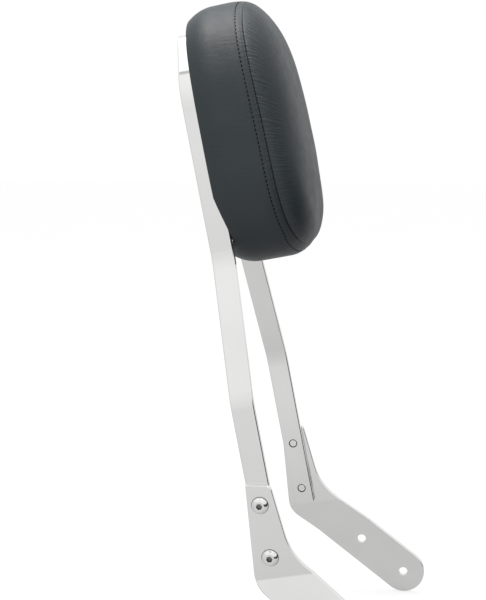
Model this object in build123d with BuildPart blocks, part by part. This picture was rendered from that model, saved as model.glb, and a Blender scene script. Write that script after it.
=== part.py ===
from build123d import *
import os
from math import copysign, cos, pi, radians, sin, tan

# Passenger backrest: a bent flat-bar upright bolted to two folded side plates, with an upholstered
# pad on its front. Millimetres, +X forward, +Y to the rider's left, +Z up.
# The origin is the axis of the rear mounting bolts, on the centre plane.

# Upright: one flat bar, bent flatwise into a hoop and leaning back
lean = 11.0
bar_width = 24.5
bar_thickness = 8.0
bar_edge_round = 1.6
hoop_lower_width = 256.0
hoop_upper_width = 160.0
splay_low = 108.0
splay_high = 253.0
splay_radius = 62.0
hoop_top = 495.0
shoulder_drop = 56.0
shoulder_angle = 38.0
shoulder_radius = 58.0
crossbar_radius = 18.0
leg_tail = 18.0

# Leg bolts: button heads with a hexagon socket, screwed into the legs
leg_bolt_radius = 5.0
leg_bolt_pitch = 57.0
button_head_radius = 8.75
button_head_height = 5.5
button_land_radius = 5.2
button_rim_height = 0.9
button_dome_sag = 0.75
socket_flats = 6.0
socket_depth = 3.2
leg_bolt_tip = 1.2
thread_gap = 0.1

# Side plates: sheet, cut to outline and folded twice below the legs
plate_thickness = 6.0
plate_edge_round = 1.0
plate_top_rise = 21.0
plate_top_rear = -11.5
plate_top_front = 14.5
plate_rear_corner = 1.5
plate_front_corner = 6.0
plate_waist_drop = 70.0
plate_waist_rear = -20.0
plate_waist_front = 23.2
limb_width = 51.0
limb_angle = 48.0
limb_front_reach = 43.0
limb_front_round = 68.0
limb_rear_round = 30.0
fold_below_leg = 5.0
flare_drop = 36.0
flare_angle = 16.0
fold_radius = 6.0
fender_hole_radius = 5.25
fender_hole_below_fold = 20.0
fender_hole_pitch = 65.0
bolt_hole_gap = 0.4

# Pad: board, foam and a sewn vinyl cover of a side band and a front panel
pad_side_overhang = 18.0
pad_top_overhang = 24.5
pad_height = 279.0
pad_squareness = 3.2
rim_depth = 2.0
rim_draw = 9.0
rim_roll = 4.5
rim_roll_draw = 5.4
rim_swell = 28.0
seam_depth = 72.0
seam_tilt = 2.7
seam_draw = 4.4
crown = 35.0
crown_sag = 4.0
crown_fall = 0.46
crown_levels = (0.35, 0.6, 0.8, 0.93, 0.99)
oval_points = 24
cover_thickness = 2.0
board_thickness = 10.0
board_inset = 13.0
board_gap = 0.3
hoop_gap = 1.0

# Cross straps, welded between the legs behind the pad
strap_height = 30.0
strap_thickness = 6.0
lower_strap_drop = 63.0
upper_strap_rise = 19.0

# Pad fasteners: hexagon bolts through the straps into tee nuts set in the board
pad_bolt_spread = 45.0
pad_bolt_radius = 3.0
pad_bolt_head_flats = 10.0
pad_bolt_head_height = 4.0
strap_hole_gap = 0.3
washer_radius = 6.2
washer_thickness = 1.6
lock_washer_radius = 5.4
lock_washer_thickness = 1.5
lock_washer_slit = 1.0
washer_hole_gap = 0.25
tee_flange_radius = 9.5
tee_flange_thickness = 1.4
tee_barrel_radius = 4.0
tee_barrel_length = 8.5
tee_gap = 0.15

# The upright's own directions, and its datum on the upper leg bolts
along = Vector(-sin(radians(lean)), 0, cos(radians(lean)))
forward = Vector(cos(radians(lean)), 0, sin(radians(lean)))
limb_run = cos(radians(limb_angle))
limb_fall = sin(radians(limb_angle))
limb_slope = limb_run / limb_fall
first_fold_drop = leg_bolt_pitch + leg_tail + fold_below_leg
second_fold_drop = first_fold_drop + flare_drop
rear_hole_drop = second_fold_drop + fender_hole_below_fold
limb_middle_reach = limb_front_reach - limb_width / 2 * limb_fall
limb_middle_drop = first_fold_drop + limb_width / 2 * limb_run
rear_hole_reach = limb_middle_reach + (rear_hole_drop - limb_middle_drop) * limb_slope
front_hole_reach = rear_hole_reach + fender_hole_pitch * limb_run
front_hole_drop = rear_hole_drop + fender_hole_pitch * limb_fall
datum = along * rear_hole_drop - forward * rear_hole_reach
hoop_plane = Plane(origin=datum, x_dir=(0, 1, 0), z_dir=forward)
side_plane = Plane(origin=datum, x_dir=forward, z_dir=(0, -1, 0))
bar_front = bar_width / 2
leg_outer = hoop_lower_width / 2
hoop_outer = hoop_upper_width / 2
hoop_inner = hoop_outer - bar_thickness
plate_outer = leg_outer + plate_thickness
pad_half_width = hoop_outer + pad_side_overhang
pad_half_height = pad_height / 2
pad_centre = hoop_top + pad_top_overhang - pad_half_height
strap_heights = {"lower": pad_centre - lower_strap_drop, "upper": pad_centre + upper_strap_rise}

# Upright's path: up the right leg, over the crossbar and down the left leg
half = bar_thickness / 2
shoulder_height = hoop_top - shoulder_drop - half * tan(radians(shoulder_angle / 2))
crossbar_height = hoop_top - half
shoulder_reach = (crossbar_height - shoulder_height) * tan(radians(shoulder_angle))
right_path = [
    (-leg_outer + half, -leg_bolt_pitch - leg_tail),
    (-leg_outer + half, splay_low),
    (-hoop_outer + half, splay_high),
    (-hoop_outer + half, shoulder_height),
    (-hoop_outer + half + shoulder_reach, crossbar_height),
]
left_path = [(-across, height) for across, height in reversed(right_path)]
right_radii = [splay_radius, splay_radius, shoulder_radius, crossbar_radius]
with BuildLine(hoop_plane) as hoop_path:
    FilletPolyline(*right_path, *left_path, radius=right_radii + right_radii[::-1])
bar_end = Plane(origin=hoop_path.line @ 0, x_dir=(0, 1, 0), z_dir=along)


def bent_bar(gap):
    """The bar's section, grown all round by a gap, carried along the hoop's path."""
    with BuildPart() as bar:
        with BuildSketch(bar_end):
            RectangleRounded(bar_thickness + 2 * gap, bar_width + 2 * gap, bar_edge_round + gap)
        sweep(path=hoop_path.line)
    return bar.part


# Upright hoop: the bent bar with the leg bolts' tapped holes
with BuildPart() as upright_hoop:
    add(bent_bar(0))
    with BuildSketch(side_plane):
        with Locations((0, 0), (0, -leg_bolt_pitch)):
            Circle(leg_bolt_radius + thread_gap)
    extrude(amount=hoop_lower_width, both=True, mode=Mode.SUBTRACT)
upright_hoop.part.label = "upright_hoop"


# Cross straps: flat bars between the legs, flush with the front of the upright
def cross_strap(height):
    with BuildPart() as strap:
        with BuildSketch(hoop_plane.offset(bar_front)):
            with Locations((0, height)):
                Rectangle(2 * hoop_inner, strap_height)
            with Locations((-pad_bolt_spread, height), (pad_bolt_spread, height)):
                Circle(pad_bolt_radius + strap_hole_gap, mode=Mode.SUBTRACT)
        extrude(amount=-strap_thickness)
    return strap.part


# Side plate: the sheet's folded section, run fore and aft, keeps only what lies in its side outline
flare_out = flare_drop * tan(radians(flare_angle))
sheet_middle = -plate_outer + plate_thickness / 2
fold_path = [
    (sheet_middle, plate_top_rise + limb_width),
    (sheet_middle, -first_fold_drop),
    (sheet_middle - flare_out, -second_fold_drop),
    (sheet_middle - flare_out, -front_hole_drop - limb_width),
]
plate_span = front_hole_reach + 2 * limb_width
top_rear_height = (plate_top_rise - plate_top_rear * sin(radians(lean))) / cos(radians(lean))
top_front_height = (plate_top_rise - plate_top_front * sin(radians(lean))) / cos(radians(lean))


def knee(top_reach, top_height, waist_reach, limb_reach):
    """Where an edge that runs down from the plate's top by its waist meets an edge of the limb."""
    slope = (waist_reach - top_reach) / (plate_waist_drop + top_height)
    drop = (first_fold_drop * limb_slope - limb_reach + top_reach + slope * top_height) / (limb_slope - slope)
    return (top_reach + slope * (top_height + drop), -drop)


limb_rear_reach = limb_front_reach - limb_width / limb_fall
front_knee = knee(plate_top_front, top_front_height, plate_waist_front, limb_front_reach)
rear_knee = knee(plate_top_rear, top_rear_height, plate_waist_rear, limb_rear_reach)
foot = (front_hole_reach, -front_hole_drop)
foot_front = (foot[0] + limb_width / 2 * limb_fall, foot[1] + limb_width / 2 * limb_run)
foot_rear = (foot[0] - limb_width / 2 * limb_fall, foot[1] - limb_width / 2 * limb_run)
foot_toe = (foot[0] + limb_width / 2 * limb_run, foot[1] - limb_width / 2 * limb_fall)
plate_corners = [
    foot_rear,
    rear_knee,
    (plate_top_rear, top_rear_height),
    (plate_top_front, top_front_height),
    front_knee,
    foot_front,
]
corner_radii = [limb_rear_round, plate_rear_corner, plate_front_corner, limb_front_round]
with BuildPart() as right_side_plate:
    with BuildSketch(hoop_plane.offset(-plate_span)):
        with BuildLine():
            FilletPolyline(*fold_path, radius=fold_radius + plate_thickness / 2)
            offset(amount=plate_thickness / 2, kind=Kind.INTERSECTION)
        make_face()
    extrude(amount=2 * plate_span)
    with BuildSketch(side_plane):
        with BuildLine():
            FilletPolyline(*plate_corners, radius=corner_radii)
            ThreePointArc(foot_front, foot_toe, foot_rear)
        make_face()
    extrude(amount=plate_outer + flare_out + plate_thickness, mode=Mode.INTERSECT)
    outline = right_side_plate.edges().filter_by(Axis.Y, reverse=True)
    outline = outline.filter_by(Axis(datum, forward), reverse=True)
    fillet(outline, plate_edge_round)
    with BuildSketch(side_plane):
        with Locations((0, 0), (0, -leg_bolt_pitch)):
            Circle(leg_bolt_radius + bolt_hole_gap)
        with Locations((rear_hole_reach, -rear_hole_drop), foot):
            Circle(fender_hole_radius)
    extrude(amount=plate_outer + flare_out + plate_thickness, mode=Mode.SUBTRACT)
right_side_plate.part.label = "right_side_plate"
left_side_plate = mirror(right_side_plate.part, about=Plane.XZ)
left_side_plate.label = "left_side_plate"


# Leg bolts: turned about each hole's axis, with the socket broached into the head
def button_bolts():
    with BuildPart() as bolts:
        for drop in (0, leg_bolt_pitch):
            seat = datum - along * drop + Vector(0, -plate_outer, 0)
            with BuildSketch(Plane(origin=seat, x_dir=forward, z_dir=-along)):
                with BuildLine():
                    Polyline(
                        (0, button_head_height),
                        (0, -plate_thickness - bar_thickness),
                        (leg_bolt_radius - leg_bolt_tip, -plate_thickness - bar_thickness),
                        (leg_bolt_radius, -plate_thickness - bar_thickness + leg_bolt_tip),
                        (leg_bolt_radius, 0),
                        (button_head_radius, 0),
                        (button_head_radius, button_rim_height),
                    )
                    SagittaArc(
                        (button_head_radius, button_rim_height),
                        (button_land_radius, button_head_height),
                        -button_dome_sag,
                    )
                    Line((button_land_radius, button_head_height), (0, button_head_height))
                make_face()
            revolve(axis=Axis(seat, (0, -1, 0)))
            head_plane = Plane(origin=seat, x_dir=forward, z_dir=(0, -1, 0)).offset(button_head_height)
            with BuildSketch(head_plane):
                RegularPolygon(socket_flats / 2, 6, major_radius=False)
            extrude(amount=-socket_depth, mode=Mode.SUBTRACT)
    return bolts.part


right_leg_bolts = button_bolts()
right_leg_bolts.label = "right_leg_bolts"
left_leg_bolts = mirror(right_leg_bolts, about=Plane.XZ)
left_leg_bolts.label = "left_leg_bolts"

# Pad forms: smooth ovals, |x/a|^n + |y/b|^n = 1, lofted from the rolled rim to the crown
pad_plane = Plane(origin=datum + along * pad_centre, x_dir=(0, 1, 0), z_dir=forward)
seam_normal = forward * cos(radians(seam_tilt)) + along * sin(radians(seam_tilt))
seam_up = along * cos(radians(seam_tilt)) - forward * sin(radians(seam_tilt))
seam_plane = Plane(origin=pad_plane.origin + forward * seam_depth, x_dir=(0, 1, 0), z_dir=seam_normal)
board_front = bar_front + board_thickness


def oval_power(value):
    """A sine or cosine raised to the oval's power with its sign kept."""
    return copysign(abs(value) ** (2 / pad_squareness), value)


def pad_oval(plane, draw, share=1.0):
    """One oval face on a plane, drawn in from the pad's widest outline and then shrunk to a share of it."""
    across = (pad_half_width - draw) * share
    upward = (pad_half_height - draw) * share
    turns = [2 * pi * step / oval_points for step in range(oval_points)]
    points = [(across * oval_power(cos(turn)), upward * oval_power(sin(turn))) for turn in turns]
    with BuildSketch(plane) as face:
        with BuildLine():
            Spline(*points, periodic=True)
        make_face()
    return face.sketch.face()


def pad_side(draw):
    """The pad from its rolled rim to the seam, drawn in all round by one thickness."""
    sections = [
        pad_oval(pad_plane.offset(rim_depth + draw), rim_draw + draw),
        pad_oval(pad_plane.offset(rim_depth + rim_roll + draw), rim_roll_draw + draw),
        pad_oval(pad_plane.offset(rim_depth + rim_swell), draw),
        pad_oval(pad_plane.offset((rim_depth + rim_swell + seam_depth) / 2), draw),
        pad_oval(seam_plane, seam_draw + draw),
    ]
    with BuildPart() as side:
        loft(sections=sections)
    return side.part


def pad_crown(draw):
    """The pad in front of the seam: a dome whose ovals shrink as (1 - level^2)^p while its top sags."""
    height = crown - draw
    sections = [pad_oval(seam_plane, seam_draw + draw)]
    for level in crown_levels:
        share = (1 - level**2) ** crown_fall
        middle = seam_plane.origin + seam_normal * (height * level) - seam_up * (crown_sag * level)
        level_plane = Plane(origin=middle, x_dir=(0, 1, 0), z_dir=seam_normal)
        sections.append(pad_oval(level_plane, seam_draw + draw, share))
    with BuildPart() as dome:
        loft(sections=sections)
    return dome.part


def pad_pocket(draw):
    """The hollow at the pad's back: room for the board, the hoop and its straps."""
    gap = hoop_gap + draw
    with BuildPart() as pocket:
        add(pad_oval(pad_plane.offset(board_front), board_inset - draw))
        extrude(amount=board_front + bar_front, dir=-forward)
        add(bent_bar(gap))
        with BuildSketch(hoop_plane.offset(bar_front)):
            with Locations(*[(0, height) for height in strap_heights.values()]):
                Rectangle(2 * hoop_inner, strap_height + 2 * gap)
        extrude(amount=-bar_width)
    return pocket.part


with BuildPart() as pad_foam_core:
    add(pad_side(cover_thickness))
    add(pad_crown(cover_thickness))
    add(pad_pocket(cover_thickness), mode=Mode.SUBTRACT)
pad_foam_core.part.label = "pad_foam_core"

with BuildPart() as pad_side_band:
    add(pad_side(0))
    add(pad_pocket(0), mode=Mode.SUBTRACT)
    add(pad_foam_core.part, mode=Mode.SUBTRACT)
pad_side_band.part.label = "pad_side_band"

with BuildPart() as pad_front_panel:
    add(pad_crown(0))
    add(pad_crown(cover_thickness), mode=Mode.SUBTRACT)
pad_front_panel.part.label = "pad_front_panel"

# Base board: flat on the upright's front, with the tee nuts let into its front face
pad_bolt_places = []
for height in strap_heights.values():
    pad_bolt_places += [(-pad_bolt_spread, height), (pad_bolt_spread, height)]
with BuildPart() as pad_base_board:
    add(pad_oval(pad_plane.offset(bar_front), board_inset + board_gap))
    extrude(amount=board_thickness, dir=forward)
    with BuildSketch(hoop_plane.offset(board_front)):
        with Locations(*pad_bolt_places):
            Circle(tee_flange_radius + tee_gap)
    extrude(amount=-tee_flange_thickness, mode=Mode.SUBTRACT)
    with BuildSketch(hoop_plane.offset(board_front)):
        with Locations(*pad_bolt_places):
            Circle(tee_barrel_radius + tee_gap)
    extrude(amount=-board_thickness, mode=Mode.SUBTRACT)
pad_base_board.part.label = "pad_base_board"

# Pad fasteners: on each strap one row of two, stacked from the head forward to the tee nut
washer_rear = bar_front - strap_thickness - washer_thickness
lock_rear = washer_rear - lock_washer_thickness
washer_hole = pad_bolt_radius + washer_hole_gap
tee_hole = pad_bolt_radius + thread_gap
tee_seat = board_front - tee_flange_thickness


def ring_row(height, depth, outer, hole, thickness):
    """Two flat rings about a strap's bolts, from one depth forward."""
    with BuildPart() as rings:
        with BuildSketch(hoop_plane.offset(depth)):
            with Locations((-pad_bolt_spread, height), (pad_bolt_spread, height)):
                Circle(outer)
                Circle(hole, mode=Mode.SUBTRACT)
        extrude(amount=thickness)
    return rings.part


def lock_washer_row(height):
    with BuildPart() as rings:
        add(ring_row(height, lock_rear, lock_washer_radius, washer_hole, lock_washer_thickness))
        with BuildSketch(hoop_plane.offset(lock_rear)):
            with Locations((-pad_bolt_spread, height), (pad_bolt_spread, height)):
                Rectangle(lock_washer_slit, lock_washer_radius, align=(Align.CENTER, Align.MIN))
        extrude(amount=lock_washer_thickness, mode=Mode.SUBTRACT)
    return rings.part


def pad_bolt_row(height):
    with BuildPart() as bolts:
        with BuildSketch(hoop_plane.offset(lock_rear)):
            with Locations((-pad_bolt_spread, height), (pad_bolt_spread, height)):
                RegularPolygon(pad_bolt_head_flats / 2, 6, major_radius=False)
        extrude(amount=-pad_bolt_head_height)
        with BuildSketch(hoop_plane.offset(lock_rear)):
            with Locations((-pad_bolt_spread, height), (pad_bolt_spread, height)):
                Circle(pad_bolt_radius)
        extrude(amount=tee_seat - lock_rear)
    return bolts.part


def tee_nut_row(height):
    with BuildPart() as nuts:
        add(ring_row(height, tee_seat, tee_flange_radius, tee_hole, tee_flange_thickness))
        add(ring_row(height, tee_seat - tee_barrel_length, tee_barrel_radius, tee_hole, tee_barrel_length))
    return nuts.part


pieces = [
    upright_hoop.part,
    right_side_plate.part,
    left_side_plate,
    right_leg_bolts,
    left_leg_bolts,
    pad_foam_core.part,
    pad_side_band.part,
    pad_front_panel.part,
    pad_base_board.part,
]
for row, height in strap_heights.items():
    row_pieces = {
        "cross_strap": cross_strap(height),
        "pad_washers": ring_row(height, washer_rear, washer_radius, washer_hole, washer_thickness),
        "pad_lock_washers": lock_washer_row(height),
        "pad_bolts": pad_bolt_row(height),
        "tee_nuts": tee_nut_row(height),
    }
    for name, piece in row_pieces.items():
        piece.label = row + "_" + name
        pieces.append(piece)

os.makedirs("parts", exist_ok=True)
for piece in pieces:
    export_step(piece, "parts/" + piece.label + ".step")
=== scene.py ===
import bmesh
import bpy
import numpy as np
from mathutils import Matrix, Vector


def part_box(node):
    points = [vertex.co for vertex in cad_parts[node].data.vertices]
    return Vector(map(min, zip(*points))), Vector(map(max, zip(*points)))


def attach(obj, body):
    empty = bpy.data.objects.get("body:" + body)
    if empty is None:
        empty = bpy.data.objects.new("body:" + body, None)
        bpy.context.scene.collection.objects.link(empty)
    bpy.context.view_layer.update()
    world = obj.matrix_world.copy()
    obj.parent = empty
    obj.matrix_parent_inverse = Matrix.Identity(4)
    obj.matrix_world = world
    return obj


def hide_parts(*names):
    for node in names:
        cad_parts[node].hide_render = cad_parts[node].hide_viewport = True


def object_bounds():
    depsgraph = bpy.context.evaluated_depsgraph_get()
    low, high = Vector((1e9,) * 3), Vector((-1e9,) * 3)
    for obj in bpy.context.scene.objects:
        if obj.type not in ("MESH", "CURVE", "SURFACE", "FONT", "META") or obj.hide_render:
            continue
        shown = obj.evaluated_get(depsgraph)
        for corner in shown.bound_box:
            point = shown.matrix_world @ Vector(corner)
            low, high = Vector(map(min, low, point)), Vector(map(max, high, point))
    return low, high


# Passenger backrest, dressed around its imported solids: chromed bar and plates with a vinyl pad.
# Metres, +X forward, +Y to the rider's left, +Z up, with the rear mounting bolts' axis at the origin.
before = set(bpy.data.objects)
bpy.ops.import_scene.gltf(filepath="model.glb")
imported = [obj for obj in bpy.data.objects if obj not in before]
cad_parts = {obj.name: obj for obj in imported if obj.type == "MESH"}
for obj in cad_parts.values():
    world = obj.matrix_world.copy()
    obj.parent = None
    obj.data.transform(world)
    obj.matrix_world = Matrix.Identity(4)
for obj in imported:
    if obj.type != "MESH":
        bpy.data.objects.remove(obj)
cad_low, cad_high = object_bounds()
scene = bpy.context.scene

# Upright hoop: one flat steel bar bent flatwise, ground smooth, polished and chrome plated.
# It leans back, and its legs are tapped for the side plates' bolts.
lean = np.radians(11.0)
chrome_dark = (0.84, 0.835, 0.83)
chrome_light = (0.89, 0.885, 0.88)
chrome_roughness = (0.035, 0.085)
chrome_drift = 0.09
smear_size = 0.012
smear_stretch = (1.0, 1.0, 3.0)
ripple_size = 0.035
ripple_depth = 0.00003
lapping_width = 0.0005
lapping_stretch = (1.0, 1.0, 40.0)
lapping_depth = 0.0000008
noise_low = 0.3
noise_high = 0.7


def nodes_of(tree):
    """Shorthands for a node tree: add a node with its settings, and join two sockets."""

    def node(kind, **settings):
        made = tree.nodes.new(kind)
        for key, value in settings.items():
            setattr(made, key, value)
        return made

    return node, tree.links.new


def new_material(name):
    """A new material with its Principled shader: (material, add node, join sockets, shader)."""
    material = bpy.data.materials.new(name)
    material.use_nodes = True
    return material, *nodes_of(material.node_tree), material.node_tree.nodes["Principled BSDF"]


def noise_on(node, join, place, size, detail, stretch, turn=0.0):
    """Noise on a place's socket whose grains are about size metres, stretched along turned axes."""
    mapping = node("ShaderNodeMapping")
    mapping.inputs["Rotation"].default_value = (0.0, turn, 0.0)
    mapping.inputs["Scale"].default_value = [1.0 / (size * share) for share in stretch]
    join(place, mapping.inputs["Vector"])
    noise = node("ShaderNodeTexNoise")
    noise.inputs["Scale"].default_value = 1.0
    noise.inputs["Detail"].default_value = detail
    join(mapping.outputs["Vector"], noise.inputs["Vector"])
    return noise.outputs["Fac"]


def object_noise(node, join, size, detail=2.0, stretch=(1.0, 1.0, 1.0), turn=0.0):
    """Noise on Object coordinates."""
    place = node("ShaderNodeTexCoord")
    return noise_on(node, join, place.outputs["Object"], size, detail, stretch, turn)


def spread_between(node, join, value, low, high, from_low=noise_low, from_high=noise_high):
    """A value mapped from its span, or a noise's usual one, to the span from low to high."""
    span = node("ShaderNodeMapRange")
    span.inputs["From Min"].default_value = from_low
    span.inputs["From Max"].default_value = from_high
    span.inputs["To Min"].default_value = low
    span.inputs["To Max"].default_value = high
    join(value, span.inputs["Value"])
    return span.outputs["Result"]


def tone_between(node, join, value, dark, light):
    """A colour that runs from dark to light with a noise value."""
    ramp = node("ShaderNodeValToRGB")
    stops = zip(ramp.color_ramp.elements, (noise_low, noise_high), (dark, light))
    for element, position, colour in stops:
        element.position = position
        element.color = (*colour, 1.0)
    join(value, ramp.inputs["Fac"])
    return ramp.outputs["Color"]


def raised(node, join, height, depth, under=None):
    """A bump of a height field, depth metres from trough to crest, laid over another bump."""
    bump = node("ShaderNodeBump")
    bump.inputs["Distance"].default_value = depth
    join(height, bump.inputs["Height"])
    if under is not None:
        join(under, bump.inputs["Normal"])
    return bump.outputs["Normal"]


def coat(join, shader, tone, roughness, normal):
    """Joins a surface's colour, roughness and normal to its shader."""
    join(tone, shader.inputs["Base Color"])
    join(roughness, shader.inputs["Roughness"])
    join(normal, shader.inputs["Normal"])


def plated(node, join):
    """Chrome's tone, roughness and normal: slow drifts, the plating's ripple and fine lapping lines."""
    drift = object_noise(node, join, chrome_drift)
    tone = tone_between(node, join, drift, chrome_dark, chrome_light)
    smear = object_noise(node, join, smear_size, 4.0, smear_stretch, -lean)
    roughness = spread_between(node, join, smear, *chrome_roughness)
    ripple = raised(node, join, object_noise(node, join, ripple_size), ripple_depth)
    lapping = object_noise(node, join, lapping_width, 1.0, lapping_stretch, -lean)
    return tone, roughness, raised(node, join, lapping, lapping_depth, ripple)


def chrome_plate():
    """Chrome: a mirror metal with a slow drift of tone and polish."""
    material, node, join, shader = new_material("chrome_plate")
    shader.inputs["Metallic"].default_value = 1.0
    coat(join, shader, *plated(node, join))
    return material


def dress(material, *names):
    """Gives CAD nodes, whose shapes are right as they are, one finish."""
    for name in names:
        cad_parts[name].data.materials.clear()
        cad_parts[name].data.materials.append(material)


plating = chrome_plate()
dress(plating, "upright_hoop")

# Cross straps: two flat bars between the legs behind the pad, chromed with the hoop.
# Each end is welded to its leg along the strap's back, and the bead is plated over.
along = np.array([-np.sin(lean), 0.0, np.cos(lean)])
forward = np.array([np.cos(lean), 0.0, np.sin(lean)])
sideways = np.array([0.0, 1.0, 0.0])
cross_straps = ("lower_cross_strap", "upper_cross_strap")
bead_radius = 0.0032
bead_length = 0.029
bead_ripple = 0.00035
bead_pitch = 0.0026
bead_end_power = 14
bead_behind = 0.0034
bead_inside = 0.0004
bead_rows = 61
bead_sides = 14
merge_distance = 1e-7
dress(plating, *cross_straps)


def grid_faces(rows, columns, copies=1):
    """Quads of row-by-column grids whose columns close on themselves, for several copies in turn."""
    index = np.arange(rows * columns).reshape(rows, columns)
    beside = np.roll(index, -1, axis=1)
    quads = np.stack([index[:-1], beside[:-1], beside[1:], index[1:]], axis=-1).reshape(-1, 4)
    return (quads[None] + (np.arange(copies) * rows * columns)[:, None, None]).reshape(-1, 4)


def new_mesh(name, points, faces):
    """A mesh from an array of points and a list of faces."""
    mesh = bpy.data.meshes.new(name)
    mesh.from_pydata(np.reshape(points, (-1, 3)).tolist(), [], faces)
    return mesh


def placed(name, data):
    """A new object in the scene that holds a mesh, a light or a camera."""
    made = bpy.data.objects.new(name, data)
    scene.collection.objects.link(made)
    return made


def new_piece(name, points, faces, material):
    """A smooth piece from points and faces, riding on the part."""
    mesh = new_mesh(name, points, faces)
    mesh.update()
    mesh.shade_smooth()
    mesh.materials.append(material)
    piece = placed(name, mesh)
    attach(piece, "root")
    return piece


def pinched(piece):
    """Closes tubes whose end rings have no radius, by merging each such ring into one point."""
    tubes = bmesh.new()
    tubes.from_mesh(piece.data)
    bmesh.ops.remove_doubles(tubes, verts=tubes.verts, dist=merge_distance)
    tubes.to_mesh(piece.data)
    tubes.free()


def weld_bead(middle):
    """A tube along the upright with rounded ends, its radius rising and falling at each puddle."""
    run = np.linspace(-1.0, 1.0, bead_rows)[:, None]
    turn = np.linspace(0.0, 2 * np.pi, bead_sides, endpoint=False)[None, :]
    ends = np.sqrt(np.clip(1.0 - np.abs(run) ** bead_end_power, 0.0, 1.0))
    radius = (bead_radius + bead_ripple * np.cos(run * bead_length / bead_pitch * np.pi)) * ends
    spine = run * bead_length / 2 * np.ones_like(turn)
    return (
        middle
        + spine[..., None] * along
        + (radius * np.cos(turn))[..., None] * forward
        + (radius * np.sin(turn))[..., None] * sideways
    )


beads = []
for strap in cross_straps:
    low, high = (np.array(corner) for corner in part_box(strap))
    strap_back = (low + high) / 2 - forward * bead_behind
    strap_reach = (high[1] - low[1]) / 2 - bead_inside
    for side in (-1.0, 1.0):
        beads.append(weld_bead(strap_back + sideways * side * strap_reach))
bead_faces = grid_faces(bead_rows, bead_sides, len(beads)).tolist()
pinched(new_piece("strap_weld_beads", np.array(beads), bead_faces, plating))

# Side plates: steel sheet cut to outline, folded twice, its edges broken and polished, then chromed.
# One is bolted outside each leg, and its foot has the holes for the mounting bolts.
# A thin ring of painted shade lines each bolt head, as a contact shadow on the plate.
head_radius = 0.00875
shade_ring_width = 0.0006
shade_edge = 0.0002
painted_shade_tone = (0.10, 0.10, 0.105)
painted_shade_roughness = 0.42
bolts_low, bolts_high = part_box("left_leg_bolts")
bolt_axes = [
    (bolts_low[0] + head_radius, 0.0, bolts_high[2] - head_radius),
    (bolts_high[0] - head_radius, 0.0, bolts_low[2] + head_radius),
]


def combined(node, join, operation, *values):
    """Values, each a socket or a number, combined by one operation."""
    made = node("ShaderNodeMath", operation=operation)
    for socket, value in zip(made.inputs, values):
        if isinstance(value, float):
            socket.default_value = value
        else:
            join(value, socket)
    return made.outputs["Value"]


def toward(node, join, factor, first, last):
    """A socket's number drawn to a fixed number by a factor."""
    mix = node("ShaderNodeMix")
    join(factor, mix.inputs["Factor"])
    join(first, mix.inputs["A"])
    mix.inputs["B"].default_value = last
    return mix.outputs["Result"]


def toward_colour(node, join, factor, first, last):
    """A socket's colour drawn to a fixed colour by a factor."""
    mix = node("ShaderNodeMix", data_type="RGBA")
    start, end = (socket for socket in mix.inputs if socket.type == "RGBA")
    join(factor, mix.inputs["Factor"])
    join(first, start)
    end.default_value = (*last, 1.0)
    return next(socket for socket in mix.outputs if socket.type == "RGBA")


def from_bolts(node, join):
    """Each point's distance from the nearest leg bolt's axis, and its distance from the centre plane."""
    place = node("ShaderNodeTexCoord")
    across = node("ShaderNodeVectorMath", operation="MULTIPLY")
    across.inputs[1].default_value = (1.0, 0.0, 1.0)
    join(place.outputs["Object"], across.inputs[0])
    reaches = []
    for axis in bolt_axes:
        reach = node("ShaderNodeVectorMath", operation="DISTANCE")
        reach.inputs[1].default_value = axis
        join(across.outputs["Vector"], reach.inputs[0])
        reaches.append(reach.outputs["Value"])
    parts = node("ShaderNodeSeparateXYZ")
    join(place.outputs["Object"], parts.inputs["Vector"])
    radius = combined(node, join, "MINIMUM", *reaches)
    return radius, combined(node, join, "ABSOLUTE", parts.outputs["Y"])


def chrome_with_painted_shade(name, shade_field):
    """Chrome with painted shade: dark and dull where a field of the distances from the bolts is one."""
    material, node, join, shader = new_material(name)
    shader.inputs["Metallic"].default_value = 1.0
    tone, roughness, normal = plated(node, join)
    # Painted shade: the field darkens and dulls the chrome round the bolts.
    in_shade = shade_field(node, join, *from_bolts(node, join))
    tone = toward_colour(node, join, in_shade, tone, painted_shade_tone)
    roughness = toward(node, join, in_shade, roughness, painted_shade_roughness)
    coat(join, shader, tone, roughness, normal)
    return material


def shade_round_heads(node, join, radius, _):
    """Painted shade: one up to a thin ring outside each bolt head, where the head meets the plate."""
    ring = head_radius + shade_ring_width
    return spread_between(node, join, radius, 1.0, 0.0, ring - shade_edge, ring)


dress(chrome_with_painted_shade("side_plate_chrome", shade_round_heads), "right_side_plate", "left_side_plate")

# Leg bolts: button-head socket screws, chromed, that hold the plates to the legs.
# Painted shade darkens the sockets, and lies under the heads and round the tips' threads.
head_height = 0.0055
head_top = bolts_high[1]
head_seat = head_top - head_height
head_land = 0.0004
socket_reach = 0.0036
socket_shade = 0.85
thread_inner = 0.0040
seat_shade = 0.0006
hard_edge = 0.0001


def both(node, join, first, second):
    """A field that is one only where two fields are one: their product."""
    return combined(node, join, "MULTIPLY", first, second)


def shade_on_bolts(node, join, radius, out):
    """Painted shade: one under each head off its axis, and nearly one in its socket."""
    # Painted shade in each socket and under each head, where the recess and the plate would shade it.
    near_axis = spread_between(node, join, radius, socket_shade, 0.0, socket_reach - hard_edge, socket_reach)
    above_seat = spread_between(node, join, out, 0.0, 1.0, head_seat, head_seat + hard_edge)
    below_top = spread_between(node, join, out, 1.0, 0.0, head_top - head_land, head_top)
    in_socket = both(node, join, both(node, join, near_axis, above_seat), below_top)
    below_head = spread_between(node, join, out, 1.0, 0.0, head_seat + hard_edge, head_seat + seat_shade)
    off_axis = spread_between(node, join, radius, 0.0, 1.0, thread_inner, thread_inner + shade_edge)
    under_head = both(node, join, below_head, off_axis)
    return combined(node, join, "MAXIMUM", under_head, in_socket)


dress(chrome_with_painted_shade("leg_bolt_chrome", shade_on_bolts), "right_leg_bolts", "left_leg_bolts")

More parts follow.
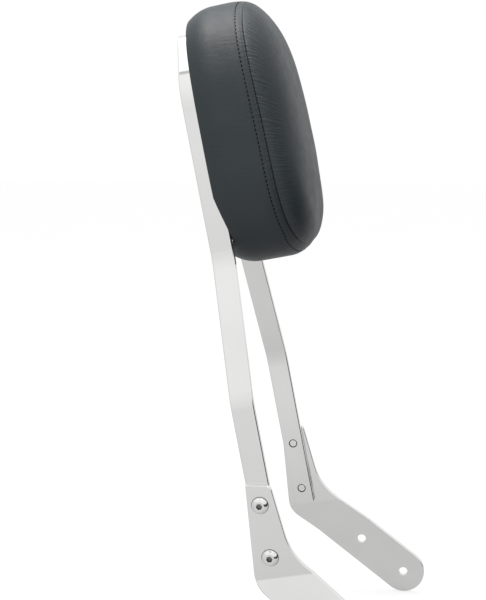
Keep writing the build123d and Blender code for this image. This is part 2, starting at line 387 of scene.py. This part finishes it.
# Pad fasteners: on each strap two bolts, each with a lock washer and a washer, run into tee nuts.
# They are steel with a dull zinc plating, and hold the board to the straps.
zinc_dark = (0.50, 0.51, 0.52)
zinc_light = (0.66, 0.66, 0.65)
zinc_roughness = (0.28, 0.46)
blotch_size = 0.004
grit_size = 0.0006
grit_depth = 0.00002


def zinc_plate():
    """Zinc: a dull blue-grey metal, blotched by its plating bath."""
    material, node, join, shader = new_material("zinc_fasteners")
    shader.inputs["Metallic"].default_value = 1.0
    blotch = object_noise(node, join, blotch_size, 3.0)
    tone = tone_between(node, join, blotch, zinc_dark, zinc_light)
    roughness = spread_between(node, join, blotch, *zinc_roughness)
    grit = object_noise(node, join, grit_size)
    coat(join, shader, tone, roughness, raised(node, join, grit, grit_depth))
    return material


zinc = zinc_plate()
for row in ("lower", "upper"):
    for kind in ("pad_bolts", "pad_washers", "pad_lock_washers", "tee_nuts"):
        dress(zinc, row + "_" + kind)

# Base board: plywood stained black, which the cover and the foam are fixed to.
# Only its back shows, between the straps.
stain_dark = (0.012, 0.011, 0.010)
stain_light = (0.045, 0.040, 0.036)
board_roughness = (0.55, 0.75)
grain_width = 0.0035
grain_stretch = (1.0, 1.0, 14.0)
pore_width = 0.0009
pore_stretch = (1.0, 1.0, 18.0)
pore_depth = 0.00012


def stained_board():
    """Stained plywood: dark grain that runs up the board, with open pores."""
    material, node, join, shader = new_material("base_board")
    grain = object_noise(node, join, grain_width, 5.0, grain_stretch, -lean)
    tone = tone_between(node, join, grain, stain_dark, stain_light)
    roughness = spread_between(node, join, grain, *board_roughness)
    pores = object_noise(node, join, pore_width, 3.0, pore_stretch, -lean)
    coat(join, shader, tone, roughness, raised(node, join, pores, pore_depth))
    return material


dress(stained_board(), "pad_base_board")

# Pad cover: black grained vinyl over the foam, a side band and a front panel sewn together.
# The seam lies further forward in the middle of each side than at the corners, most of all at the foot.
half_width = 0.0980
half_height = 0.1395
squareness = 3.2
bar_front = 0.01225
board_thickness = 0.010
seam_half_width = 0.0936
seam_half_height = 0.1335
seam_rise = 0.0024
foot_rise = 0.0018
seam_depth = 0.0637
seam_slope = np.tan(np.radians(1.75))
top_bow = 0.0090
foot_bow = 0.0182
flank_bow = 0.0066
bow_fade = 2.27
crown = 0.0383
crown_power = 0.457
crown_sag = 0.0127
sag_power = 1.3
sag_power_drop = 0.3
outline_samples = 40001
columns = 960
board_low, board_high = (np.array(corner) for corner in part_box("pad_base_board"))
pad_middle = (board_low + board_high) / 2 - forward * (bar_front + board_thickness / 2)


def oval_round(count):
    """Unit oval |x|^n + |y|^n = 1 at equal steps along the pad's real outline, and that outline's length."""
    turn = np.linspace(0.0, 2 * np.pi, outline_samples)
    x = np.sign(np.cos(turn)) * np.abs(np.cos(turn)) ** (2 / squareness)
    y = np.sign(np.sin(turn)) * np.abs(np.sin(turn)) ** (2 / squareness)
    steps = np.hypot(np.diff(x * half_width), np.diff(y * half_height))
    run = np.concatenate([[0.0], np.cumsum(steps)])
    places = np.linspace(0.0, run[-1], count, endpoint=False)
    return np.interp(places, run, x), np.interp(places, run, y), run[-1]


def in_pad(out, up, depth):
    """Points of the part from distances across, up and forward of the pad's middle."""
    out, up, depth = np.broadcast_arrays(out, up, depth)
    return pad_middle + out[..., None] * sideways + up[..., None] * along + depth[..., None] * forward


def seam_bow(x, y):
    """How far the seam bows forward: by 1 - x^2 across the top and foot, by 1 - y^2 along the flanks."""
    ends = top_bow * (1.0 + y) / 2 + foot_bow * (1.0 - y) / 2
    return ends * (1.0 - x * x) + flank_bow * (1.0 - y * y)


def seam_lift(x, y):
    """How far the seam rises: evenly, and by 1 - x^2 more across the foot."""
    return seam_rise + foot_rise * (1.0 - x * x) * (1.0 - y) / 2


def panel_points(rise, inset, count):
    """The panel: the seam's oval shrinks as cos^p of an angle while it rises as its sine and sags."""
    x, y, _ = oval_round(count)
    shrink = (np.cos(rise) ** crown_power)[:, None]
    lift = np.sin(rise)[:, None]
    sag = crown_sag * lift ** (sag_power - sag_power_drop * y)
    out = (seam_half_width - inset) * shrink * x
    up = (seam_half_height - inset) * shrink * y + seam_lift(x, y) - sag
    seam = seam_depth - up * seam_slope + seam_bow(x, y) * (1.0 - lift) ** bow_fade
    return in_pad(out, up, seam + (crown - inset) * lift)


pad_girth = oval_round(columns)[2]

# Side band: the boxing round the pad, vinyl pulled in at the rim and at the seam.
# It rolls over the rim, is cut away there where a leg comes out, and is stapled inside the pocket.
# Cloth blown out from inside gives the cover its fullness, and the seam is pressed in after it.
rim_back = 0.0040
rim_draw = 0.0090
rim_swell = 0.026
seam_swell = 0.020
notch_top = -0.0610
notch_foot = -0.0980
notch_lift = 0.0097
notch_inner = 0.0710
notch_outer = 0.0770
steep_rise = np.radians(70.0)
crown_tip = 0.004
crown_samples = 2000
blank_columns = 96
blank_reach = 0.94
blank_panel_rows = 15
blank_band_rows = 13
blank_seam_row = blank_band_rows - 1


def rim_depth(x, y):
    """The rim's depth: level, but lifted along a straight slope to each leg's front at the lower corners."""
    up, out = (half_height - rim_draw) * y, half_width * np.abs(x)
    slope = np.clip((notch_top - up) / (notch_top - notch_foot), 0.0, 1.0)
    beside = np.clip((out - notch_inner) / (notch_outer - notch_inner), 0.0, 1.0)
    return rim_back + notch_lift * slope * beside**2 * (3.0 - 2.0 * beside)


def band_points(share, step, inset, count):
    """The band: ovals pulled in at both ends, a share of the way from rim to seam, stepped back and inset."""
    x, y, _ = oval_round(count)
    rim = rim_depth(x, y)
    seam = seam_depth - (seam_half_height * y + seam_rise) * seam_slope + seam_bow(x, y)
    depth = rim + share[:, None] * (seam - rim)
    behind = np.clip(1.0 - (depth - rim_back) / rim_swell, 0.0, 1.0) ** 2
    ahead = np.clip(1.0 - (seam - depth) / seam_swell, 0.0, 1.0) ** 2
    pull = rim_draw * behind + inset[:, None]
    out = (half_width - pull - (half_width - seam_half_width) * ahead) * x
    up = (half_height - pull - (half_height - seam_half_height) * ahead) * y + seam_lift(x, y) * ahead
    return in_pad(out, up, depth - step[:, None])


def crown_rises(arcs):
    """The panel's angles at shares of the arc from the seam up the foot's middle, and those arcs' lengths."""
    steep = np.linspace(0.0, steep_rise, crown_samples)
    shrink = np.linspace(np.cos(steep[-1]) ** crown_power, crown_tip, crown_samples)[1:]
    rise = np.concatenate([steep, np.arccos(shrink ** (1 / crown_power))])
    inward = seam_half_height * np.cos(rise) ** crown_power
    steps = np.hypot(np.diff(inward), np.diff(crown * np.sin(rise)))
    run = np.concatenate([[0.0], np.cumsum(steps)])
    return np.interp(arcs * run[-1], run, rise), arcs * run[-1]


def blown_out(points, held, pressure, frames, farthest):
    """The grid's moves after cloth is blown out from inside; held rows stay, and no point goes too far."""
    rows, count = points.shape[:2]
    faces = grid_faces(rows, count).tolist()
    faces.append(list(range(count))[::-1])
    faces.append(list(range((rows - 1) * count, rows * count)))
    blank = placed("cover_blank", new_mesh("cover_blank", points, faces))
    group = blank.vertex_groups.new(name="held")
    for row in held:
        group.add(list(range(row * count, (row + 1) * count)), 1.0, "REPLACE")
    cloth = blank.modifiers.new("cloth", "CLOTH")
    cloth.settings.quality = 6
    cloth.settings.mass = 0.3
    cloth.settings.tension_stiffness = 25.0
    cloth.settings.compression_stiffness = 25.0
    cloth.settings.shear_stiffness = 8.0
    cloth.settings.bending_stiffness = 2.0
    cloth.settings.use_pressure = True
    cloth.settings.uniform_pressure_force = pressure
    cloth.settings.vertex_group_mass = "held"
    cloth.settings.effector_weights.gravity = 0.0
    cloth.point_cache.frame_start = 1
    cloth.point_cache.frame_end = frames
    for step in range(1, frames + 1):
        scene.frame_set(step)
    shape = blank.evaluated_get(bpy.context.evaluated_depsgraph_get()).data
    flat = np.empty(rows * count * 3, np.float32)
    shape.vertices.foreach_get("co", flat)
    bpy.data.objects.remove(blank)
    scene.frame_set(1)
    moves = flat.reshape(rows, count, 3).astype(float) - points
    length = np.linalg.norm(moves, axis=-1, keepdims=True)
    return moves * np.minimum(1.0, farthest / np.maximum(length, 1e-9))


def finer(moves, places, count, waves=9):
    """Coarse moves carried to a finer grid: slow waves round the pad, cubic weights between the rows."""
    around = np.fft.irfft(np.fft.rfft(moves, axis=1)[:, :waves], n=count, axis=1) * (count / moves.shape[1])
    places = np.clip(places, 0.0, len(moves) - 1.0)
    base = np.clip(np.floor(places).astype(int), 0, len(moves) - 2)
    t = places - base
    near = np.clip(base[:, None] + np.arange(-1, 3), 0, len(moves) - 1)
    before, here = -t + 2 * t**2 - t**3, 2 - 5 * t**2 + 3 * t**3
    after, beyond = t + 4 * t**2 - 3 * t**3, t**3 - t**2
    weights = np.stack([before, here, after, beyond], axis=1) / 2
    return np.einsum("rk,rkcx->rcx", weights, around[near])


blank_share = np.linspace(0.0, 1.0, blank_band_rows)
blank_arcs = np.linspace(0.0, blank_reach, blank_panel_rows)
level = np.zeros(blank_band_rows)
blank_band = band_points(blank_share, level, level, blank_columns)
blank_panel = panel_points(crown_rises(blank_arcs)[0], 0.0, blank_columns)
blank = np.concatenate([blank_band, blank_panel[1:]])
moves = blown_out(blank, held=(0, blank_seam_row), pressure=4.0, frames=20, farthest=0.004)
band_moves = moves[:blank_band_rows]

# Towards the crown's top each ring of the panel moves more and more as one.
ring_moves = moves[blank_seam_row:].mean(axis=1, keepdims=True)
calm = (1.0 - (blank_arcs / blank_reach) ** 2) ** 2
panel_moves = ring_moves + (moves[blank_seam_row:] - ring_moves) * calm[:, None, None]

# The band's rows run from inside the pocket, round the rim, up the side into the seam and back within.
band_reach = 0.0700
rim_hook = 0.0024
rim_turn = 0.0042
hook_start = np.radians(38.0)
pocket_run = 0.010
cover_thickness = 0.0016
seam_zone = 0.2
seam_groove = 0.0004
seam_groove_width = 0.0005
stitch_setback = 0.0080
stitch_groove = 0.0003
stitch_groove_width = 0.0010
allowance_rise = 0.0003
allowance_width = 0.0024
band_gather = 0.00003
band_gather_fade = 0.012
band_drape = 0.00012
band_drape_slant = 0.2


def normals_of(points):
    """Unit normals of a grid whose columns close on themselves, from its neighbours' differences."""
    around = np.roll(points, -1, axis=1) - np.roll(points, 1, axis=1)
    upward = np.gradient(points, axis=0)
    normal = np.cross(around, upward)
    return normal / np.maximum(np.linalg.norm(normal, axis=-1, keepdims=True), 1e-12)


def ripples(shortest, longest, seed, samples=8192):
    """A random wave round the pad, built from wavelengths between two lengths, with a spread of one."""
    rng = np.random.default_rng(seed)
    waves = np.zeros(samples // 2 + 1, complex)
    first, last = int(pad_girth / longest), int(pad_girth / shortest)
    waves[first:last] = np.exp(2j * np.pi * rng.random(last - first))
    wave = np.fft.irfft(waves, n=samples)
    return wave / wave.std()


def wave_at(wave, place):
    """The wave's value at places round the pad, where one whole turn is 1."""
    turn = np.mod(place, 1.0) * len(wave)
    return np.interp(turn, np.arange(len(wave) + 1), np.append(wave, wave[0]))


wall = np.linspace(-pocket_run, 0.0, 4)[:-1]
hook = np.linspace(np.pi, hook_start, 11)[:-1]
seam_rows = seam_zone * np.linspace(1.0, 0.0, 27) ** 1.5
side_share = np.concatenate([np.linspace(0.0, 1.0 - seam_zone, 34)[:-1], 1.0 - seam_rows])
back = np.linspace(0.985, 0.02, 7)
rim_rows = len(wall) + len(hook)
outer = slice(rim_rows, rim_rows + len(side_share))
share = np.concatenate([np.zeros(rim_rows), side_share, back])
step = np.concatenate([
    wall,
    rim_hook * (np.sin(hook) - np.sin(hook_start)),
    np.zeros(len(side_share) + len(back)),
])
inset = np.concatenate([
    np.full(len(wall), rim_turn),
    rim_turn * (np.cos(hook_start) - np.cos(hook)) / 2,
    np.zeros(len(side_share)),
    np.full(len(back), cover_thickness),
])
band = band_points(share, step, inset, columns)
band[outer] += finer(band_moves, side_share * blank_seam_row, columns)
cover_round = np.arange(columns) / columns
setback = (1.0 - side_share) * band_reach
gather = wave_at(ripples(shortest=0.004, longest=0.012, seed=3), cover_round)
slanted = cover_round + band_drape_slant * setback[:, None]
drape = wave_at(ripples(shortest=0.040, longest=0.160, seed=5), slanted)
press = -seam_groove * np.exp(-setback / seam_groove_width)
press -= stitch_groove * np.exp(-(((setback - stitch_setback) / stitch_groove_width) ** 2))
press += allowance_rise * np.exp(-(((setback - stitch_setback / 2) / allowance_width) ** 2))
bump = press[:, None] + band_gather * gather * np.exp(-setback / band_gather_fade)[:, None]
bump += band_drape * drape * np.sin(np.pi * side_share)[:, None]
band[outer] += normals_of(band[outer]) * bump[..., None]
band_faces = grid_faces(len(band) + 1, columns) % (len(band) * columns)

# The vinyl puckers along the seam, and each point carries its place along and away from it. A thin painted
# shade darkens the seam line.
vinyl_dark = (0.0115, 0.0190, 0.0228)
vinyl_light = (0.0140, 0.0220, 0.0258)
vinyl_roughness = (0.44, 0.52)
vinyl_drift = 0.05
vinyl_smear = 0.010
painted_seam_colour = (0.003, 0.004, 0.005)
seam_shade = 0.9
painted_seam_span = (0.0005, 0.0009)
pucker_width = 0.0020
pucker_stretch = (1.0, 1.0, 15.0)
pucker_depth = 0.00068
pucker_fade = (0.042, 0.004)
band_pucker_ratio = 12.0
crease_size = 0.0032
crease_stretch = (6.0, 1.5, 1.0)
crease_turn = np.radians(32.0)
crease_depth = 0.00014
pebble_size = 0.0011
pebble_depth = 0.00007
far_from_seam = 0.08


def eased(node, join, value, start, end):
    """Nothing before start and one past end, with a smooth step between."""
    span = node("ShaderNodeMapRange", interpolation_type="SMOOTHSTEP")
    span.inputs["From Min"].default_value = start
    span.inputs["From Max"].default_value = end
    join(value, span.inputs["Value"])
    return span.outputs["Result"]


def black_vinyl():
    """Vinyl: near black with a slate cast, a pebble grain, slanted creases, puckers beside the seam, and
    painted shade along it.
    """
    material, node, join, shader = new_material("black_vinyl")
    sewn = node("ShaderNodeAttribute", attribute_name="sewn_place").outputs["Vector"]
    parts = node("ShaderNodeSeparateXYZ")
    join(sewn, parts.inputs["Vector"])
    away = parts.outputs["Z"]

    drift = object_noise(node, join, vinyl_drift, 3.0)
    tone = tone_between(node, join, drift, vinyl_dark, vinyl_light)
    # Painted shade: a thin dark line along the seam, where the panel laps over the band.
    apart = combined(node, join, "ABSOLUTE", away)
    in_painted_seam = spread_between(node, join, apart, seam_shade, 0.0, *painted_seam_span)
    tone = toward_colour(node, join, in_painted_seam, tone, painted_seam_colour)
    smear = object_noise(node, join, vinyl_smear, 4.0)
    roughness = spread_between(node, join, smear, *vinyl_roughness)

    behind = combined(node, join, "MULTIPLY", away, -band_pucker_ratio)
    beside_seam = eased(node, join, combined(node, join, "MAXIMUM", away, behind), *pucker_fade)
    pucker = noise_on(node, join, sewn, pucker_width, 2.0, pucker_stretch)
    surface = raised(node, join, both(node, join, pucker, beside_seam), pucker_depth)
    crease = object_noise(node, join, crease_size, 3.0, crease_stretch, crease_turn)
    surface = raised(node, join, crease, crease_depth, surface)
    place = node("ShaderNodeTexCoord")
    pebble = node("ShaderNodeTexVoronoi", feature="SMOOTH_F1")
    pebble.inputs["Scale"].default_value = 1.0 / pebble_size
    join(place.outputs["Object"], pebble.inputs["Vector"])
    surface = raised(node, join, pebble.outputs["Distance"], pebble_depth, surface)
    coat(join, shader, tone, roughness, surface)
    return material


def sewn_places(distance):
    """A place for each point: round a ring of the pad's girth along the seam, and away from the seam."""
    turn = 2 * np.pi * cover_round
    ring = pad_girth / (2 * np.pi)
    x, y, away = np.broadcast_arrays(ring * np.cos(turn), ring * np.sin(turn), distance[:, None])
    return np.stack([x, y, away], axis=-1)


def sew(piece, places):
    """Writes each point's place along the seam to the piece, for the cover's puckers."""
    layer = piece.data.attributes.new("sewn_place", "FLOAT_VECTOR", "POINT")
    layer.data.foreach_set("vector", np.ascontiguousarray(places, np.float32).ravel())


vinyl = black_vinyl()
side_band = new_piece("cover_side_band", band, band_faces.tolist(), vinyl)
within = np.full(len(back), far_from_seam)
sew(side_band, sewn_places(np.concatenate([np.full(rim_rows, far_from_seam), -setback, within])))
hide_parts("pad_side_band")

# Front panel: one piece of vinyl over the crown, gathered a little into the seam all round.
# Its edge turns back inside the seam.
panel_seam_zone = 0.18
panel_gather = 0.00005
panel_gather_fade = 0.010
panel_gather_start = 0.002
gather_sway = 0.004
gather_sway_run = 0.014


def capped(rows):
    """Faces of a grid whose first and last rows each close on one point, the two last points of the mesh."""
    ring = np.arange(columns)
    last = ring + (rows - 1) * columns
    start = np.stack([np.roll(ring, -1), ring, np.full(columns, rows * columns)], axis=1)
    end = np.stack([last, np.roll(last, -1), np.full(columns, rows * columns + 1)], axis=1)
    return grid_faces(rows, columns).tolist() + start.tolist() + end.tolist()


def with_poles(grid):
    """A grid's points with the middles of its first and last rows after them."""
    poles = np.array([grid[0].mean(axis=0), grid[-1].mean(axis=0)])
    return np.concatenate([grid.reshape(-1, 3), poles])


seam_arcs = panel_seam_zone * np.linspace(0.0, 1.0, 30)[:-1] ** 1.4
arcs = np.concatenate([seam_arcs, np.linspace(panel_seam_zone, 1.0, 34)])
rise, arc = crown_rises(arcs)
under, _ = crown_rises(np.linspace(0.97, 0.0, 7))
inner = panel_points(under, cover_thickness, columns)
front = panel_points(rise, 0.0, columns)
front += finer(panel_moves, arcs / blank_reach * (blank_panel_rows - 1), columns)
fine = ripples(shortest=0.0036, longest=0.010, seed=11)
patch = np.clip(0.5 + 0.5 * ripples(shortest=0.03, longest=0.16, seed=13), 0.0, 1.8)
swayed = cover_round + gather_sway * np.sin(arc / gather_sway_run)[:, None]
gathers = wave_at(fine, swayed) * wave_at(patch, cover_round)
gathered = np.exp(-arc / panel_gather_fade) * (1.0 - np.exp(-arc / panel_gather_start))
bump = -seam_groove * np.exp(-arc / seam_groove_width)[:, None]
bump = bump + panel_gather * gathers * gathered[:, None]
front += normals_of(front) * bump[..., None]
shell = np.concatenate([inner, front])
front_panel = new_piece("cover_front_panel", with_poles(shell), capped(len(shell)), vinyl)
shell_places = sewn_places(np.concatenate([np.full(len(inner), far_from_seam), arc]))
sew(front_panel, np.concatenate([shell_places.reshape(-1, 3), np.full((2, 3), far_from_seam)]))
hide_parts("pad_front_panel")

# Top stitching: black thread through the band behind the seam, in one row all round.
# Each stitch is pulled a little into the vinyl.
stitch_pitch = 0.0045
stitch_length = 0.0030
stitch_radius = 0.00065
stitch_sink = 0.2
stitch_end_power = 3
stitch_rows = 7
stitch_sides = 8
thread_dark = (0.002, 0.002, 0.002)
thread_light = (0.006, 0.006, 0.006)
twist_size = 0.0004
twist_depth = 0.0001


def black_thread():
    """Thread: matt black, twisted."""
    material, node, join, shader = new_material("black_thread")
    twist = object_noise(node, join, twist_size)
    join(tone_between(node, join, twist, thread_dark, thread_light), shader.inputs["Base Color"])
    shader.inputs["Roughness"].default_value = 0.9
    shader.inputs["Specular IOR Level"].default_value = 0.1
    join(raised(node, join, twist, twist_depth), shader.inputs["Normal"])
    return material


def along_row(row, places):
    """Points between a closed row's columns, at places counted in columns."""
    base = np.floor(places).astype(int)
    part = (places - base)[:, None]
    return row[base % len(row)] * (1.0 - part) + row[(base + 1) % len(row)] * part


stitch_row = int(np.argmin(np.abs(setback - stitch_setback)))
line = band[outer][stitch_row]
line_normal = normals_of(band[outer])[stitch_row]
stitch_count = int(pad_girth / stitch_pitch)
stitch_at = np.arange(stitch_count) * columns / stitch_count
outward = along_row(line_normal, stitch_at)
heading = along_row(line, stitch_at + 0.5) - along_row(line, stitch_at - 0.5)
heading = heading / np.linalg.norm(heading, axis=1, keepdims=True)
beside = np.cross(heading, outward)
tip = np.linspace(-1.0, 1.0, stitch_rows)[:, None]
turn = np.linspace(0.0, 2 * np.pi, stitch_sides, endpoint=False)[None, :]
thick = stitch_radius * np.sqrt(np.clip(1.0 - np.abs(tip) ** stitch_end_power, 0.0, 1.0))
stitches = (
    (along_row(line, stitch_at) - outward * stitch_radius * stitch_sink)[:, None, None]
    + (tip * stitch_length / 2 * np.ones_like(turn))[None, ..., None] * heading[:, None, None]
    + (thick * np.cos(turn))[None, ..., None] * outward[:, None, None]
    + (thick * np.sin(turn))[None, ..., None] * beside[:, None, None]
)
stitch_faces = grid_faces(stitch_rows, stitch_sides, stitch_count).tolist()
pinched(new_piece("cover_top_stitches", stitches, stitch_faces, black_thread()))

# Foam core: the moulded polyurethane cushion that the cover is drawn over.
# A pocket at its back takes the board.
foam_gap = 0.0022
pocket_floor = 0.0226
pocket_wall = np.array([-0.0075, -0.0050])
foam_rows = 16
foam_dark = (0.10, 0.10, 0.10)
foam_light = (0.20, 0.20, 0.20)
cell_size = 0.0012
cell_depth = 0.0004


def seat_foam():
    """Foam: matt grey with open cells."""
    material, node, join, shader = new_material("seat_foam")
    cells = object_noise(node, join, cell_size, 3.0)
    join(tone_between(node, join, cells, foam_dark, foam_light), shader.inputs["Base Color"])
    shader.inputs["Roughness"].default_value = 0.95
    join(raised(node, join, cells, cell_depth), shader.inputs["Normal"])
    return material


x, y, _ = oval_round(columns)
wall_draw = rim_draw + rim_turn - foam_gap
floor_share = np.linspace(0.01, 1.0, 5)[:, None]
floor_out = (half_width - wall_draw) * floor_share * x
floor_up = (half_height - wall_draw) * floor_share * y
floor_rows = in_pad(floor_out, floor_up, pocket_floor)
wall_inset = np.full(len(pocket_wall), rim_turn - foam_gap)
wall_rows = band_points(np.zeros(len(pocket_wall)), pocket_wall, wall_inset, columns)
foam_share = np.linspace(0.08, 0.97, foam_rows)
side_rows = band_points(foam_share, np.zeros(foam_rows), np.full(foam_rows, foam_gap), columns)
foam_rise, _ = crown_rises(np.linspace(0.02, 0.99, foam_rows))
crown_rows = panel_points(foam_rise, foam_gap, columns)
foam = np.concatenate([floor_rows, wall_rows, side_rows, crown_rows])
foam_core = new_piece("foam_cushion", with_poles(foam), capped(len(foam)), seat_foam())
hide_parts("pad_foam_core")

# Floor: a pale studio floor that reads white and keeps the part's shadow.
# Its glow is seen by the eye and by the chrome, and it lights nothing.
floor_height = cad_low.z - 0.001
floor_low, floor_high = (-8.0, -8.0), (0.6, 8.0)
floor_tone = 0.30
floor_white = 0.72
floor_glow = {-5.4: 0.54, -1.18: 0.46, -0.92: 0.44, -0.65: 0.39, -0.45: 0.36, 0.0: 0.29, 0.9: 0.44}
glow_low, glow_high = -6.0, 1.0


def tone_steps(node, join, value, low, high, steps):
    """Grey tones at given values between low and high, blended from each to the next."""
    share = node("ShaderNodeMapRange")
    share.inputs["From Min"].default_value = low
    share.inputs["From Max"].default_value = high
    join(value, share.inputs["Value"])
    tones = node("ShaderNodeValToRGB")
    ramp = tones.color_ramp
    while len(ramp.elements) < len(steps):
        ramp.elements.new(0.5)
    for element, (level, tone) in zip(ramp.elements, steps.items()):
        element.position = (level - low) / (high - low)
        element.color = (tone, tone, tone, 1.0)
    join(share.outputs["Result"], tones.inputs["Fac"])
    return tones.outputs["Color"]


def studio_floor():
    """Floor: matt grey that takes the shadow, a white glow for the eye and a softer one for mirrors."""
    material, node, join, shader = new_material("studio_floor")
    shader.inputs["Base Color"].default_value = (floor_tone, floor_tone, floor_tone, 1.0)
    shader.inputs["Roughness"].default_value = 1.0
    shader.inputs["Specular IOR Level"].default_value = 0.0
    shader.inputs["Emission Color"].default_value = (1.0, 1.0, 1.0, 1.0)
    ray = node("ShaderNodeLightPath").outputs
    place = node("ShaderNodeTexCoord")
    parts = node("ShaderNodeSeparateXYZ")
    join(place.outputs["Object"], parts.inputs["Vector"])
    tones = tone_steps(node, join, parts.outputs["Y"], glow_low, glow_high, floor_glow)
    mirrored = combined(node, join, "MAXIMUM", ray["Is Glossy Ray"], ray["Is Transmission Ray"])
    mirrored = both(node, join, mirrored, tones)
    seen = both(node, join, ray["Is Camera Ray"], floor_white)
    join(combined(node, join, "ADD", seen, mirrored), shader.inputs["Emission Strength"])
    return material


floor_corners = [floor_low, (floor_high[0], floor_low[1]), floor_high, (floor_low[0], floor_high[1])]
floor_points = [(*corner, floor_height) for corner in floor_corners]
studio = placed("studio_floor", new_mesh("studio_floor", floor_points, [(0, 1, 2, 3)]))
studio.data.materials.append(studio_floor())

# Studio: pale walls that grow lighter upwards to a bright ceiling, greyer to the rear.
# A thin dark gap below the ceiling's bright ring and its dim middle draw lines where the chromed bar bends.
# A dark flag ahead shades the bolts' domes and the bar's front edges.
wall_tones = {
    -0.7: 0.58, -0.3: 0.68, -0.05: 0.82, 0.0: 0.82, 0.5: 0.93, 0.862: 1.0, 0.872: 0.45, 0.880: 0.45,
    0.890: 1.4, 0.925: 1.4, 0.940: 0.55,
}
rear_tone = 0.72
rear_span = (-0.70, -0.90)
rear_heights = (0.60, 0.30)
flag_tone = 0.06
flag_heading = (0.970, -0.242, 0.0)
flag_span = (0.69, 0.83)
flag_heights = (0.30, 0.10)


def studio_walls():
    """The world by direction: tones by height, grey to the rear, dark ahead, and white to the eye."""
    world = bpy.data.worlds.new("studio_walls")
    world.use_nodes = True
    node, join = nodes_of(world.node_tree)
    place = node("ShaderNodeTexCoord")
    parts = node("ShaderNodeSeparateXYZ")
    join(place.outputs["Generated"], parts.inputs["Vector"])
    height = parts.outputs["Z"]
    ahead = node("ShaderNodeVectorMath", operation="DOT_PRODUCT")
    ahead.inputs[1].default_value = flag_heading
    join(place.outputs["Generated"], ahead.inputs[0])

    walls = tone_steps(node, join, height, -1.0, 1.0, wall_tones)
    rear = eased(node, join, parts.outputs["X"], *rear_span)
    rear = both(node, join, rear, eased(node, join, height, *rear_heights))
    walls = toward(node, join, rear, walls, rear_tone)
    flag = eased(node, join, ahead.outputs["Value"], *flag_span)
    flag = both(node, join, flag, eased(node, join, height, *flag_heights))
    walls = toward(node, join, flag, walls, flag_tone)
    path = node("ShaderNodeLightPath")
    walls = toward(node, join, path.outputs["Is Camera Ray"], walls, 1.0)
    join(walls, world.node_tree.nodes["Background"].inputs["Color"])
    return world


scene.world = studio_walls()

# Lights: two soft boxes overhead that shine straight down.
# The second one lights the cover alone, for the broad sheen on its vinyl.
cover_light_colour = (1.0, 0.95, 0.92)


def soft_box(name, place, size, power):
    """A rectangular light that shines straight down."""
    light = bpy.data.lights.new(name, "AREA")
    light.shape = "RECTANGLE"
    light.size, light.size_y = size
    light.energy = power
    box = placed(name, light)
    box.location = place
    return box


soft_box("top_soft_box", place=(-0.15, 0.35, 1.95), size=(1.8, 0.80), power=12.0)
cover_box = soft_box("cover_soft_box", place=(-0.35, -0.55, 1.50), size=(1.0, 0.9), power=18.5)
cover_box.data.color = cover_light_colour
covers = bpy.data.collections.new("soft_lit_cover")
for piece in (side_band, front_panel):
    covers.objects.link(piece)
cover_box.light_linking.receiver_collection = covers

# Camera: beside the part, a little ahead of it and above.
camera_place = (0.1281, -1.4483, 0.5408)
camera_azimuth = np.radians(9.92)
camera_elevation = np.radians(8.665)
lens = bpy.data.cameras.new("camera")
lens.lens = 79.74
lens.sensor_width = 36.0
lens.sensor_fit = "AUTO"
camera = placed("camera", lens)
turned = Matrix.Rotation(camera_azimuth, 4, "Z") @ Matrix.Rotation(np.pi / 2 - camera_elevation, 4, "X")
camera.matrix_world = Matrix.Translation(camera_place) @ turned
scene.camera = camera
scene.view_settings.view_transform = "Standard"
